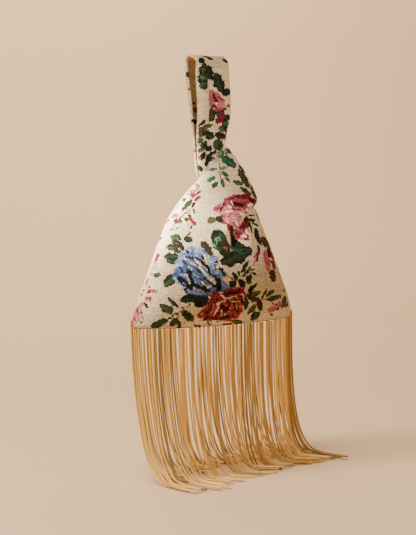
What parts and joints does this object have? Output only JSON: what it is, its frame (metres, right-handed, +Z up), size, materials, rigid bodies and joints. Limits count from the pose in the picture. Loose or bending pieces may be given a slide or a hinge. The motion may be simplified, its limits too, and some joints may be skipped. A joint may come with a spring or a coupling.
{
  "type": "fringed knot bag",
  "caption": "Floral tapestry knot bag with an oval base, a long wrist loop drawn through a short loop, and a gold fringe round the base seam.",
  "frame": {"origin": "inner top of the wrist loop, where the bag hangs", "axes": "+Z up, +X along the oval base towards the side of the long loop, the front faces -Y"},
  "size_m": [0.2182, 0.124, 0.4188],
  "materials": {
    "tapestry": "woven cream cloth with roses and leaves",
    "fringe_cord": "gold chainette with a soft sheen"
  },
  "bodies": {
    "root": {"front_panel": "tapestry", "back_panel": "tapestry", "base_panel": "tapestry", "fringe": "fringe_cord"}
  },
  "joints": []
}
